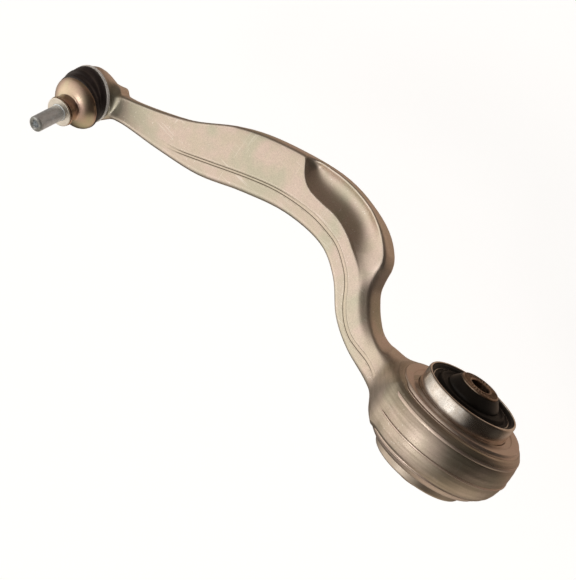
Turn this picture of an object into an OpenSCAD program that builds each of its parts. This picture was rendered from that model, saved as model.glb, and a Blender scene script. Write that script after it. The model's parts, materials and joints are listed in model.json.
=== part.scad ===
// Forged control arm with a large hydraulic bush at one end and a ball joint at the other.
// Millimetres. The origin is the centre of the bush. +X runs along the arm to the ball,
// the bush axis lies along Y, and +Z is the side of the arm that the ball stud stands on.

/* [Arm] */
// Thickness of the arm plate
arm_t = 17; // [16:0.5:18]
// Depth of the scooped pocket in the outer bend
pocket_depth = 8; // [6:0.5:9]
// Radius of the forged lug beside the ball housing
lug_r = 4; // [3:0.5:5]

/* [Bush] */
// Outer radius of the bush can
can_r = 34; // [33.5:0.25:34.5]
// Wall of the bush can
can_wall = 1.8; // [1.5:0.1:2]
// Half of the length of the bush can
can_half = 31; // [30.5:0.5:32]
// Largest radius of the boss that holds the can
boss_r = 51.5; // [51:0.5:52]
// Radius of the bolt hole, a clearance hole for an M14 bolt
bolt_r = 7.1; // [7:0.05:7.25]
// Outer radius of the inner sleeve
sleeve_r = 14; // [13.5:0.25:14.25]
// Half of the length of the inner sleeve
sleeve_half = 38.8; // [38:0.2:40]

/* [Ball joint] */
// Lean of the housing cup from the plate's normal, in degrees
cup_tilt = 18; // [17:0.5:19]
// Heading of that lean, in degrees from +X towards +Y
cup_turn = 92; // [90:1:94]
// Lean of the stud from the plate's normal, in degrees
stud_tilt = 29.5; // [28:0.5:30.5]
// Heading of that lean, in degrees from +X towards +Y
stud_turn = 112.5; // [111:0.5:114]
// Radius of the ball
ball_r = 12.5; // [12:0.1:12.5]
// Outer radius of the housing cup
cup_r = 20.3; // [20.1:0.1:20.5]
// Radius of the stud's shank, for an M12 thread
shank_r = 6; // [5.9:0.05:6]
// Distance from the ball centre to the tip of the shank
stud_len = 65.5; // [62:0.5:68]

/* [Hidden] */
$fn = 96;

// Steps of the smooth outline between two of its points
curve_steps = 5;
// Gap between parts that slide on each other
slide_gap = 0.05;
// Gap between parts that are pressed together
press_gap = 0.02;

// Outer edge of the plate, from the ball housing to the boss
outer_edge = [[372, -8], [340, -16.5], [294, -34.5], [252, -58.5], [210, -72], [166, -79.5],
    [130, -74.5], [106, -60], [93, -35], [80, -17], [60, -14.5], [44, -15], [30, -16]];
// Inner edge of the plate, from the boss to the ball housing
inner_edge = [[30, 18], [46, 17], [64, 13], [90, 5.5], [110, -5.5], [129, -24], [152, -34.5],
    [188, -33], [226, -22], [264, -8], [304, -0.5], [342, 5], [364, 11]];
// Edge of the pocket, round its whole outline
pocket_edge = [[200, -71], [190, -62], [168, -57.5], [146, -55], [126, -47.5], [112, -37],
    [104, -38], [105.5, -52], [116, -64], [136, -73], [166, -76]];

// Bush
core_r = 19.2;
core_len = 37.5;
cage_r = 30;
cage_wall = 1.2;
cage_half = 28.4;
can_bore = can_r - can_wall;
rubber_half = can_half - 0.7;
chamber_half = 11;
web_angle = 30;
stop_angle = 96;
stop_r = 26.5;
channel_half = 10;
shell_gap_angle = 4;

// Boss: distances along the bush axis are positive towards the end that faces -Y
boss_top = 19.5;
boss_step = 18.5;
boss_step_r = 38.5;
boss_foot = -24;
lug_x = 363;
lug_y = -11;

// Ball joint: heights are along the cup's axis or the stud's, from the ball centre
ball_pos = [379, 2, 4];
cup_top = 8.6;
cup_shoulder = 5.2;
groove_r = 18.1;
bore_r = 15.6;
bore_foot = -5;
shell_top = 4.6;
neck_r = 7;
seat_r = 8.5;
seat_low = 17.5;
dome_base = 21.6;
collar_seat = 38.7;
pilot_r = 6.6;
collar_top = 40.7;
collar_r = 11.1;
hex_r = 3.2;
hex_depth = 5;

function at_index(p, i) = p[max(0, min(len(p) - 1, i))];
function blend(a, b, c, d, t) = 0.5 * (2 * b + (c - a) * t
    + (2 * a - 5 * b + 4 * c - d) * t * t + (3 * b - a - 3 * c + d) * t * t * t);
function curve(p) = [
    for (i = [0 : len(p) - 2], k = [0 : curve_steps - 1])
        blend(at_index(p, i - 1), p[i], p[i + 1], at_index(p, i + 2), k / curve_steps),
    p[len(p) - 1]
];
function wrap(p, i) = p[(i + len(p)) % len(p)];
function loop_curve(p) = [
    for (i = [0 : len(p) - 1], k = [0 : curve_steps - 1])
        blend(wrap(p, i - 1), p[i], wrap(p, i + 1), wrap(p, i + 2), k / curve_steps)
];

// Turns a shape made along Z onto the bush axis, its top towards -Y
module at_bush() {
    rotate([90, 0, 0]) children();
}

// Moves a shape made along Z to the ball centre, and leans it onto an axis
module at_ball(tilt, turn) {
    translate(ball_pos)
        rotate([0, 0, turn])
            rotate([0, tilt, 0])
                children();
}

module at_cup() {
    at_ball(cup_tilt, cup_turn) children();
}

module at_stud() {
    at_ball(stud_tilt, stud_turn) children();
}

// Ring between two radii and two heights
module band(r_in, r_out, low, high) {
    translate([0, 0, low])
        difference() {
            cylinder(r = r_out, h = high - low);
            translate([0, 0, -1]) cylinder(r = r_in, h = high - low + 2);
        }
}

// Part of a band, centred on the angle mid
module sector(r_in, r_out, low, high, mid, spread) {
    rotate([0, 0, mid - spread / 2])
        translate([0, 0, low])
            rotate_extrude(angle = spread)
                translate([r_in, 0])
                    square([r_out - r_in, high - low]);
}

// Steel sleeve that the bolt clamps
module inner_sleeve() {
    bevel = 0.5;
    color("rosybrown") at_bush() rotate_extrude()
        polygon([[bolt_r, bevel - sleeve_half], [bolt_r + bevel, -sleeve_half],
            [sleeve_r - bevel, -sleeve_half], [sleeve_r, bevel - sleeve_half],
            [sleeve_r, sleeve_half - bevel], [sleeve_r - bevel, sleeve_half],
            [bolt_r + bevel, sleeve_half], [bolt_r, sleeve_half - bevel]]);
}

// Moulded core on the sleeve, with a cone at each end
module core_bulge() {
    cone_base = can_half + 1;
    color("#141414") at_bush() rotate_extrude()
        polygon([[sleeve_r, -core_len], [sleeve_r + 1.2, -core_len], [core_r, -cone_base],
            [core_r, cone_base], [sleeve_r + 1.2, core_len], [sleeve_r, core_len]]);
}

// Two blocks on the core that limit its travel inside the fluid chambers
module travel_stops() {
    color("#3b4046") at_bush()
        for (mid = [90, 270])
            sector(core_r, stop_r, -chamber_half + 3, chamber_half - 3, mid, stop_angle);
}

// Rubber spring with two fluid chambers and a sealing lip at each end
module main_rubber() {
    lip_depth = 1.2;
    color("#101010") at_bush() difference() {
        band(core_r + slide_gap, can_bore - press_gap, -rubber_half, rubber_half);
        band(cage_r - cage_wall - press_gap, cage_r + press_gap, -cage_half, cage_half);
        band(cage_r - 0.2, can_bore + 1, -channel_half - 0.3, channel_half + 0.3);
        for (mid = [90, 270])
            sector(core_r, cage_r, -chamber_half, chamber_half, mid, 180 - web_angle);
        for (side = [-1, 1])
            translate([0, 0, side * rubber_half])
                rotate_extrude() translate([26.5, 0]) circle(r = lip_depth, $fn = 32);
    }
}

// Steel cage inside the rubber, with a window for each chamber
module cage_ring() {
    color("#8d9094") at_bush() difference() {
        band(cage_r - cage_wall, cage_r, press_gap - cage_half, cage_half - press_gap);
        for (mid = [90, 270])
            sector(cage_r - 4, cage_r + 1, -chamber_half, chamber_half, mid, 180 - web_angle);
    }
}

// Two half shells between cage and can, with the channel that joins the chambers
module channel_shells() {
    color("#c9c4b4") at_bush() difference() {
        for (mid = [0, 180])
            sector(cage_r + press_gap, can_bore - press_gap, -channel_half, channel_half,
                mid, 180 - shell_gap_angle);
        band(can_bore - 1.1, can_bore + 1, -2.5, 2.5);
    }
}

// Can that is pressed into the boss, rolled in at both rims
module outer_can() {
    lip = 0.9;
    color("#e4e2dd") at_bush() rotate_extrude()
        polygon([[can_bore, lip - can_half], [can_bore - lip, -can_half],
            [can_r - lip, -can_half], [can_r, lip - can_half],
            [can_r, can_half - lip], [can_r - lip, can_half],
            [can_bore - lip, can_half], [can_bore, can_half - lip]]);
}

// Plate of the arm with its pocket, and a spot face that leaves room for the boot's foot
module arm_plate() {
    pocket_floor = arm_t / 2 - pocket_depth;
    spot_face_r = cup_r + 2.4;
    difference() {
        translate([0, 0, -arm_t / 2]) linear_extrude(arm_t) plate_outline();
        translate([0, 0, pocket_floor]) linear_extrude(arm_t)
            polygon(loop_curve(pocket_edge));
        at_cup() translate([0, 0, cup_shoulder]) cylinder(r = spot_face_r, h = arm_t);
    }
}

// Outline of the plate, seen along Z
module plate_outline() {
    polygon(concat(curve(outer_edge), curve(inner_edge)));
}

// Neck that thickens from the plate up to the boss
module boss_neck() {
    half = arm_t / 2;
    reach = 30;
    intersection() {
        rotate([90, 0, 0]) translate([0, 0, -reach]) linear_extrude(2 * reach)
            polygon([[84, half], [68, half + 1.5], [56, 13], [47, 21], [36, 33],
                [36, -33], [47, -21], [56, -13], [68, -half - 1.5], [84, -half]]);
        translate([0, 0, -60]) linear_extrude(120) plate_outline();
    }
}

// Barrel-shaped boss round the can
module boss_barrel() {
    at_bush() rotate_extrude()
        polygon([[can_r - 2, boss_foot], [can_r + 6, boss_foot], [can_r + 9.2, -22],
            [can_r + 12, -17], [boss_r - 2.4, -14.5], [boss_r - 0.4, -6], [boss_r, -3],
            [boss_r, 2], [boss_r - 1, 11], [boss_r - 4, 16.5], [can_r + 11, 17.2],
            [can_r + 11, boss_top], [boss_step_r, boss_top], [boss_step_r, boss_step],
            [can_r - 2, boss_step]]);
}

// Round-bottomed cup of the ball housing, with a groove for the boot
module housing_cup() {
    at_cup() rotate_extrude()
        polygon([[0, -17.4], [5, -16.8], [9, -14.6], [12.6, -11.2], [15.6, -7.6],
            [18, -4.4], [19.7, -1.4], [cup_r, 1.4], [cup_r, cup_shoulder - 0.6],
            [cup_r - 0.6, cup_shoulder], [groove_r, cup_shoulder], [groove_r, cup_top - 0.4],
            [groove_r - 0.4, cup_top], [0, cup_top]]);
}

// Space inside the cup, open at the mouth, with a step for the retaining ring
module cup_space() {
    bore = bore_r + press_gap;
    at_cup() rotate_extrude()
        polygon([[0, -14.2], [6, -14.2], [11, -10.4], [bore, bore_foot],
            [bore, cup_top - 1], [14.4, cup_top - 0.6], [14.4, cup_top + 1], [0, cup_top + 1]]);
}

// Small lug forged on the outer edge beside the housing
module forged_lug() {
    translate([lug_x, lug_y, -arm_t / 2]) cylinder(r = lug_r, h = arm_t);
}

// Aluminium forging: plate, boss and ball housing in one piece
module arm_forging() {
    color("#c8b9a3") difference() {
        union() {
            arm_plate();
            boss_neck();
            boss_barrel();
            housing_cup();
            forged_lug();
        }
        at_bush() translate([0, 0, -60]) cylinder(r = can_r + press_gap, h = 120);
        cup_space();
    }
}

// Elastic disc under the shell that presses it against the ball
module preload_disc() {
    color("#4a4d50") at_cup() translate([0, 0, -14.15]) cylinder(r = 5.9, h = 1);
}

// Plastic shell that the ball turns in
module bearing_shell() {
    color("#e8e6dc") at_cup() difference() {
        rotate_extrude()
            polygon([[0, -13.1], [5.6, -13.1], [10.9, -10.1], [bore_r - 0.1, bore_foot],
                [bore_r, bore_foot + 0.3], [bore_r, shell_top], [0, shell_top]]);
        sphere(r = ball_r + slide_gap);
        translate([0, 0, -14]) cylinder(r = 3, h = 4);
    }
}

// Ring that closes the cup over the shell
module retaining_ring() {
    color("#9a9da0") at_cup() rotate_extrude()
        polygon([[12.2, shell_top + 0.05], [bore_r, shell_top + 0.05],
            [bore_r, cup_top - 1.1], [14.4, cup_top - 0.7], [13.4, cup_top - 1.1]]);
}

// Seal ring between the cup's mouth and the foot of the boot
module mouth_seal() {
    color("#161616") at_cup()
        translate([0, 0, cup_top + 0.52])
            rotate_extrude() translate([16.6, 0]) circle(r = 0.5, $fn = 32);
}

// Foot of the dust boot, held in the groove of the cup
module boot_cuff() {
    foot_r = groove_r + slide_gap;
    color("#17150f") at_cup() rotate_extrude()
        polygon([[foot_r, cup_shoulder + 0.1], [20.3, cup_shoulder + 0.1], [20.3, 8.2],
            [21, 9.2], [20.8, 10.8], [18.6, 10.8], [18.4, 9.2], [foot_r, 8.8]]);
}

// Spring ring round the foot of the boot
module boot_clamp_ring() {
    color("#f2efe8") at_cup()
        translate([0, 0, 7])
            rotate_extrude() translate([21.02, 0]) circle(r = 0.7, $fn = 32);
}

// Folds of the dust boot, which lean half-way between cup and stud
module boot_fold() {
    color("#17150f") at_ball((cup_tilt + stud_tilt) / 2, (cup_turn + stud_turn) / 2)
        rotate_extrude()
            polygon([[17.4, 14.4], [20.4, 14.4], [21, 15.6], [20, 16.8], [20.2, 18.2],
                [18, 19], [14.5, 19], [14.5, 17.8], [18, 17.4], [18.4, 16.4]]);
}

// Upper end of the dust boot, round the stud
module boot_neck() {
    color("#17150f") at_stud() band(seat_r + slide_gap, 11.5, 19.6, 23.2);
}

// Spring ring round the upper end of the boot
module boot_neck_ring() {
    color("#d9d6cf") at_stud()
        translate([0, 0, 21.8])
            rotate_extrude() translate([12, 0]) circle(r = 0.5, $fn = 32);
}

// Ball, neck and shank in one piece, with a hexagon socket in the tip
module ball_stud() {
    bevel = 1;
    flat = 11.2;
    relief_r = shank_r - 0.2;
    relief_end = collar_top + 0.5;
    color("#a9a59b") at_stud() difference() {
        union() {
            difference() {
                sphere(r = ball_r);
                translate([0, 0, -ball_r - 2]) cylinder(r = ball_r, h = ball_r + 2 - flat);
            }
            rotate_extrude()
                polygon([[0, 5], [neck_r, 5], [neck_r, 13], [seat_r, seat_low],
                    [seat_r, collar_seat], [pilot_r, collar_seat], [pilot_r, collar_top],
                    [relief_r, collar_top], [relief_r, relief_end], [shank_r, relief_end],
                    [shank_r, stud_len - bevel], [shank_r - bevel, stud_len], [0, stud_len]]);
        }
        translate([0, 0, stud_len - hex_depth]) cylinder(r = hex_r, h = hex_depth + 1, $fn = 6);
    }
}

// Collar staked on the stud's pilot, which the knuckle seats on, with two stake marks
module stud_collar() {
    mark_r = 0.7;
    groove_top = collar_seat + 0.6;
    color("#d8d2c4") at_stud() difference() {
        rotate_extrude()
            polygon([[pilot_r, collar_seat], [9.8, collar_seat], [9.8, groove_top],
                [collar_r, groove_top], [collar_r, collar_top - 0.4],
                [collar_r - 0.4, collar_top], [pilot_r, collar_top]]);
        for (side = [0, 180])
            rotate([0, 0, side])
                translate([8.6, 0, collar_top - 0.5])
                    cylinder(r = mark_r, h = 1);
    }
}

// Zinc-plated bell that covers the boot; its heights are above its rim
module dome_shield() {
    color("#c2ab7c") at_stud() translate([0, 0, dome_base]) rotate_extrude()
        polygon([[seat_r, 7.7], [10, 7.6], [11.8, 6.7], [13.9, 5.7], [15.8, 4.3], [17.3, 2.8],
            [18.4, 1.3], [19, 0], [20.1, 0], [20.2, 0.7], [19.5, 2.1], [18.3, 3.7],
            [16.7, 5.3], [14.7, 6.8], [12.4, 8], [10.8, 8.7], [10.3, 9.6], [10, 13.5],
            [10.2, 15.6], [11.3, 16.2], [11.3, collar_seat - dome_base],
            [seat_r, collar_seat - dome_base]]);
}

inner_sleeve();
core_bulge();
travel_stops();
main_rubber();
cage_ring();
channel_shells();
outer_can();
arm_forging();
preload_disc();
bearing_shell();
retaining_ring();
mouth_seal();
boot_cuff();
boot_clamp_ring();
boot_fold();
boot_neck();
boot_neck_ring();
ball_stud();
stud_collar();
dome_shield();
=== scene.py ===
"""Looks of a forged control arm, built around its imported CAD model.

Lengths in the shape sections are millimetres in the row frame; MM turns them into metres.
The row frame's origin is the bush centre, +X runs to the ball joint, the bush lies along Y.
"""

import json
import math

import bpy
import numpy as np
from mathutils import Matrix, Vector


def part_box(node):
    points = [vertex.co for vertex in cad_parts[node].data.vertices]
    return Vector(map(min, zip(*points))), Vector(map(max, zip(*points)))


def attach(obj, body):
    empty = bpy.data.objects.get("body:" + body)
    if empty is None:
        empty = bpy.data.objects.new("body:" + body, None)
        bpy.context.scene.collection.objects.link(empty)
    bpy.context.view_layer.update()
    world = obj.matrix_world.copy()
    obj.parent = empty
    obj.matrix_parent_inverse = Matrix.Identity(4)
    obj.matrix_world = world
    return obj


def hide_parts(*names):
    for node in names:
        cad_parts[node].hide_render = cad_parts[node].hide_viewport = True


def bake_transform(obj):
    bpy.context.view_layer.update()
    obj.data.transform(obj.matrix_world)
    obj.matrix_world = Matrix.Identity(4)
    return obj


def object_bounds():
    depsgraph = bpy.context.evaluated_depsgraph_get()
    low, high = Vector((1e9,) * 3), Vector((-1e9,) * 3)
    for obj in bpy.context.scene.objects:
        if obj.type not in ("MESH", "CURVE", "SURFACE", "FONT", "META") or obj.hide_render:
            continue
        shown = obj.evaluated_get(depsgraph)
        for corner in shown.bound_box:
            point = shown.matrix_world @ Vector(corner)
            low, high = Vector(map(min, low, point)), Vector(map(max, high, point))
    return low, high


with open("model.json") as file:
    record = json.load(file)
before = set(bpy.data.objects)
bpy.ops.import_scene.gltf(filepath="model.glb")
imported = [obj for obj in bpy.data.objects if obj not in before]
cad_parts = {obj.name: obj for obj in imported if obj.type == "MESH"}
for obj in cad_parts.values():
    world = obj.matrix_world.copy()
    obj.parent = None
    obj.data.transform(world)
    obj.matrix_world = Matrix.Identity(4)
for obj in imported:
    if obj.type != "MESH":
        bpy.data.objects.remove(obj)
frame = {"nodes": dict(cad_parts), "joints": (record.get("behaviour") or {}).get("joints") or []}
cad_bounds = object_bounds()

MM = 0.001
joints = {joint["name"]: joint for joint in frame["joints"]}


def unit(v):
    """That direction at length 1."""
    v = np.asarray(v, float)
    return v / np.linalg.norm(v)


def smooth(t):
    """0 below 0, 1 above 1, and an S-curve in between."""
    t = np.clip(t, 0.0, 1.0)
    return t * t * (3.0 - 2.0 * t)


# ---------------------------------------------------------------- sizes from the frame

BALL = np.array(joints["stud_spin"]["pos_m"]) / MM
STUD_AXIS = unit(joints["stud_spin"]["axis"])
CUP_AXIS = unit(np.cross(joints["stud_swing"]["axis"], joints["stud_rock"]["axis"]))
CUP_AXIS *= math.copysign(1.0, CUP_AXIS[2])
BUSH_AXIS = np.array([0.0, -1.0, 0.0])
CAN_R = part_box("outer_can")[1].z / MM
CAN_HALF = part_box("outer_can")[1].y / MM
SLEEVE_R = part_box("inner_sleeve")[1].z / MM
SLEEVE_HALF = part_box("inner_sleeve")[1].y / MM
CORE_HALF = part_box("core_bulge")[1].y / MM
# The floor is low enough for the ball joint to stay above it at the bush's limit
FLOOR_DROP = 150
FLOOR_Z = cad_bounds[0][2] - FLOOR_DROP * MM


# ---------------------------------------------------------------- curves and distances


def curve(points, steps=6):
    """A smooth line through the points, as Catmull and Rom make it."""
    p = np.array(points, float)
    ends = np.vstack([p[:1], p, p[-1:]])
    out = []
    for a, b, c, d in zip(ends[:-3], ends[1:-2], ends[2:-1], ends[3:]):
        for t in np.arange(steps) / steps:
            out.append(
                0.5 * (2 * b + (c - a) * t + (2 * a - 5 * b + 4 * c - d) * t**2
                       + (3 * b - a - 3 * c + d) * t**3)
            )
    out.append(p[-1])
    return np.array(out)


def line_distance(line, u, v):
    """Distance of each (u, v) from an open line, and the side it lies on: 1 left, -1 right."""
    best = np.full(u.shape, np.inf)
    side = np.ones(u.shape)
    for a, b in zip(line[:-1], line[1:]):
        d = b - a
        t = np.clip(((u - a[0]) * d[0] + (v - a[1]) * d[1]) / (d @ d), 0, 1)
        du, dv = u - a[0] - t * d[0], v - a[1] - t * d[1]
        far = du * du + dv * dv
        nearer = far < best
        best[nearer] = far[nearer]
        side[nearer] = np.sign(d[0] * dv - d[1] * du)[nearer]
    return np.sqrt(best), side


def outline_distance(outline, u, v):
    """Distance of each (u, v) from a closed outline, below 0 inside it."""
    loop = np.vstack([outline, outline[:1]])
    far, _ = line_distance(loop, u, v)
    inside = np.zeros(u.shape, bool)
    for a, b in zip(loop[:-1], loop[1:]):
        if a[1] == b[1]:
            continue
        crosses = (a[1] > v) != (b[1] > v)
        inside ^= crosses & (u < (b[0] - a[0]) * (v - a[1]) / (b[1] - a[1]) + a[0])
    return np.where(inside, -far, far)


class Table:
    """Values of a rule on an even grid over a plane, read in between by interpolation."""

    def __init__(self, low, high, step, rule):
        self.low, self.high, self.step = np.array(low, float), np.array(high, float), step
        u = np.arange(low[0], high[0] + step, step)
        v = np.arange(low[1], high[1] + step, step)
        self.values = rule(*np.meshgrid(u, v, indexing="ij"))

    def __call__(self, u, v):
        i = np.clip((u - self.low[0]) / self.step, 0, self.values.shape[0] - 1.001)
        j = np.clip((v - self.low[1]) / self.step, 0, self.values.shape[1] - 1.001)
        i0, j0 = i.astype(int), j.astype(int)
        s, t = i - i0, j - j0
        t0 = self.values[i0, j0] * (1 - t) + self.values[i0, j0 + 1] * t
        t1 = self.values[i0 + 1, j0] * (1 - t) + self.values[i0 + 1, j0 + 1] * t
        return t0 * (1 - s) + t1 * s

    def beyond(self, u, v):
        """How far a point lies outside the table."""
        du = np.maximum(np.maximum(self.low[0] - u, u - self.high[0]), 0)
        dv = np.maximum(np.maximum(self.low[1] - v, v - self.high[1]), 0)
        return np.hypot(du, dv)


# ---------------------------------------------------------------- the forging's shape

PLATE_HALF = 8.5
PLATE_EDGE_R, PLATE_FOOT_R = 4.2, 1.6
OUTER_EDGE_R, OUTER_FOOT_R = 2.2, 4.6
NECK_START, NECK_END = 84.0, 36.0
NECK_RISE = 24.5
BALL_END_START, BALL_END_THINNER = 290.0, 1.3

OUTER_EDGE = [(372, -8), (340, -16.5), (294, -34.5), (252, -58.5), (210, -72), (166, -79.5),
              (130, -74.5), (106, -60), (93, -35), (80, -17), (60, -14.5), (44, -15), (30, -16)]
INNER_EDGE = [(30, 18), (46, 17), (64, 13), (90, 5.5), (110, -5.5), (129, -24), (152, -34.5),
              (188, -33), (226, -22), (264, -8), (304, -0.5), (342, 5), (364, 11)]

# The trim line: it steps down to a shelf along the inner edge
TRIM_LINE = [(304, -7.5), (287, -11.6), (259, -22), (230, -33), (207, -40.6),
             (189, -44.5), (170, -46.6), (153, -46), (138, -43), (124, -35), (116, -27.5),
             (108, -16), (100, -8), (91, -3), (81, -1), (70, 0), (60, 2), (50, 5.5)]
SHELF_DROP = 0.45

# The scooped pocket lies between a crest and the rim on the outside of the bend
CREST = [(250, -84), (214, -79), (203, -75), (198, -73), (189, -62.5), (180, -58), (168, -57),
         (152, -57), (138.5, -53.5), (127, -48), (119, -44), (112, -39), (104, -27),
         (92, -15), (78, -8), (60, -4)]
RIM = [(256, -57.4), (232, -66), (210, -72.6), (190, -77), (166, -80), (142.5, -78.5), (128, -74),
       (117, -69), (108, -62), (104, -54), (103, -45), (100.6, -35), (95, -27), (88, -20),
       (80, -15.6), (70, -12.5), (60, -10.4)]
POCKET_DEPTH = 7.4
BOWL_SKEW, BOWL_PEAK = 0.8, 0.2904  # the peak of a * (1 - a) ** 0.8
RIM_DROP = 2.2
WALL_SLOPE = 7.5
TRIM_CHANNEL, TRIM_HALF = 0.6, 1.7


def plate_rise(x):
    """How much the plate is thicker than its half thickness, as it swells up to the boss."""
    return NECK_RISE * np.clip((NECK_START - x) / (NECK_START - NECK_END), 0, 1.3) ** 2.6


def plate_half(x):
    return PLATE_HALF - BALL_END_THINNER * smooth((x - BALL_END_START) / 60) + plate_rise(x)


def face_height(x, y):
    """Height of the plate's upper face at the trim line, with the shelf beside it."""
    trim, trim_side = line_distance(TRIM_CURVE, x, y)
    shelf_fade = smooth((320 - x) / 30) * smooth((x - 48) / 30)
    return plate_half(x) - SHELF_DROP * shelf_fade * smooth(0.5 - trim * trim_side / 2.4)


def top_surface(x, y):
    """Height of the plate's upper face: shelf, trim channel, pocket and outer rim."""
    trim, _ = line_distance(TRIM_CURVE, x, y)
    channel = TRIM_CHANNEL * smooth((TRIM_HALF - trim) / 0.6)
    channel *= smooth((299 - x) / 6) * smooth((x - 54) / 6)
    crest, crest_side = line_distance(CREST_CURVE, x, y)
    rim, rim_side = line_distance(RIM_CURVE, x, y)
    inward = crest * crest_side
    past_crest = 0.5 * (inward + np.sqrt(inward**2 + 0.5 + 7 * smooth((135 - x) / 40)))
    to_rim = rim * -rim_side
    to_wall = 0.5 * (to_rim + np.sqrt(to_rim**2 + 0.8))
    beyond_rim = 0.5 * (-to_rim - 0.6 + np.sqrt((to_rim + 0.6) ** 2 + 1.2))
    width = past_crest + to_wall
    across = past_crest / width
    depth = POCKET_DEPTH * smooth((x - 103) / 36) * smooth(past_crest / 1.4) * smooth(width / 13)
    bowl = across * (1 - across) ** BOWL_SKEW / BOWL_PEAK
    rim_low = RIM_DROP * smooth((x - 62) / 40) * smooth((206 - x) / 36) * smooth(across / 0.9)
    wall = WALL_SLOPE * beyond_rim * smooth((x - 61) / 16)
    return face_height(x, y) - channel - depth * bowl - rim_low - wall


TRIM_CURVE, CREST_CURVE, RIM_CURVE = curve(TRIM_LINE), curve(CREST), curve(RIM)
EDGE_POINTS = np.vstack([curve(OUTER_EDGE), curve(INNER_EDGE)])
PLAN_LOW, PLAN_HIGH, PLAN_STEP = (-62, -92), (402, 52), 0.5
plan = Table(PLAN_LOW, PLAN_HIGH, PLAN_STEP, lambda x, y: outline_distance(EDGE_POINTS, x, y))
top = Table(PLAN_LOW, PLAN_HIGH, PLAN_STEP, top_surface)
top_slope = Table(PLAN_LOW, PLAN_HIGH, PLAN_STEP, lambda x, y: np.sqrt(
    1 + sum(g**2 for g in np.gradient(top.values, PLAN_STEP))))

# Boss, as (distance along the bush axis, radius); the positive end faces -Y
BOSS_BORE = CAN_R + 0.15
BOSS = [(-23, BOSS_BORE), (-23, 40), (-21, 42.4), (-19.5, 43.6), (-18.4, 45), (-17.2, 47),
        (-15.4, 48.6), (-12.5, 49.8), (-8, 50.8), (-4, 51.3), (1, 51.4), (6, 51.1), (9.5, 50.6),
        (12, 49.9), (14, 49), (16, 47.5), (17, 45.6), (17.1, BOSS_BORE)]
boss_profile = Table((-32, 26), (28, 60), 0.2, lambda h, r: outline_distance(np.array(BOSS), h, r))

# Ball housing, as (height along the cup axis, radius)
CUP = [(-17.4, -1), (-17.4, 0), (-16.8, 5), (-14.6, 9), (-11.2, 12.6), (-7.6, 15.6), (-4.4, 18),
       (-1.4, 19.7), (1.4, 20.3), (4.6, 20.3), (5.2, 19.7), (5.2, 18.1), (8.2, 18.1),
       (8.6, 17.7), (8.6, -1)]
CUP_SPACE = [(-13.4, -1), (-13.4, 3.4), (-9.4, 9.9), (-4.6, 13.5), (-1, 14.9), (7.6, 15.2),
             (8, 14.5), (12, 14.5), (12, -1)]
cup_profile = Table((-24, 0), (14, 28), 0.2, lambda a, r: outline_distance(np.array(CUP), a, r))
space_profile = Table((-24, 0), (14, 28), 0.2,
                      lambda a, r: outline_distance(np.array(CUP_SPACE), a, r))
CUP_SHOULDER, SHOULDER_TOP = 5.2, 5.3
SPOT_FACE_R, SPOT_SLOPE = 22.4, 2.4
LUG_AT, LUG_R, LUG_TOP, LUG_EDGE_R = (363.5, -10.5), 4.0, 6.5, 2.0
BOOT_SEAT_R = 20.4
BOSS_SWELL = 5.0
SPOT_FILLET, LUG_FILLET, CUP_FILLET, BOSS_FILLET = 5.0, 3.0, 8.0, 9.0


def join(a, b, k):
    """The union of two shapes, with a fillet about k wide."""
    h = np.maximum(k - np.abs(a - b), 0) / k
    return np.minimum(a, b) - h * h * k / 4


def rounded(a, b, r):
    """What two half spaces share, with the edge between them rounded to radius r."""
    qa, qb = np.maximum(a + r, 0), np.maximum(b + r, 0)
    return np.hypot(qa, qb) + np.minimum(np.maximum(a + r, b + r), 0) - r


def around(axis, p, centre):
    """Height along an axis through centre, and distance from that axis."""
    d = p - centre
    height = d @ axis
    return height, np.sqrt(np.maximum((d * d).sum(1) - height**2, 0))


def forging(p):
    """Distance of points from the forging's surface, below 0 inside it."""
    x, y, z = p.T
    edge = plan(x, y) + plan.beyond(x, y)
    upper = (z - top(x, y)) / top_slope(x, y)
    lower = -z - plate_half(x)
    middle = 0.5 * (np.interp(x, *zip(*OUTER_EDGE[::-1])) + np.interp(x, *zip(*INNER_EDGE)))
    outer = (y < middle) * smooth((365 - x) / 20)
    swell = BOSS_SWELL * smooth((86 - x) / 38)
    edge_r = PLATE_EDGE_R + (OUTER_EDGE_R - PLATE_EDGE_R) * outer * smooth((x - 60) / 20) + swell
    foot_r = PLATE_FOOT_R + (OUTER_FOOT_R - PLATE_FOOT_R) * outer * smooth((x - 112) / 34) + swell
    plate = rounded(rounded(edge, upper, edge_r), lower, foot_r)
    height, radius = around(CUP_AXIS, p, BALL)
    spot = np.maximum(radius - SPOT_FACE_R - SPOT_SLOPE * np.maximum(height - CUP_SHOULDER, 0),
                      CUP_SHOULDER - height)
    plate = -join(-plate, spot, SPOT_FILLET)
    lug = rounded(np.hypot(x - LUG_AT[0], y - LUG_AT[1]) - LUG_R, np.abs(z) - LUG_TOP,
                  LUG_EDGE_R)
    depth, out = around(BUSH_AXIS, p, np.zeros(3))
    boss = boss_profile(depth, out) + boss_profile.beyond(depth, out)
    bore = BOSS_BORE - out
    cup = cup_profile(height, radius) + cup_profile.beyond(height, radius)
    space = space_profile(height, radius) + space_profile.beyond(height, radius)
    shape = join(join(plate, lug, LUG_FILLET), cup, CUP_FILLET)
    shape = join(shape, np.maximum(boss, bore), BOSS_FILLET)
    boot_room = np.maximum(np.maximum(radius - SPOT_FACE_R, SHOULDER_TOP - height),
                           BOOT_SEAT_R - radius)
    shape = np.maximum(shape, -boot_room)
    return np.maximum(np.maximum(shape, bore), -space)


# ---------------------------------------------------------------- mesh of a shape

CORNERS = np.array([(i, j, k) for i in (0, 1) for j in (0, 1) for k in (0, 1)])
CELL_EDGES = [(a, b) for a in range(8) for b in range(a + 1, 8)
              if np.abs(CORNERS[a] - CORNERS[b]).sum() == 1]
BLOCK = 5


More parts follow.
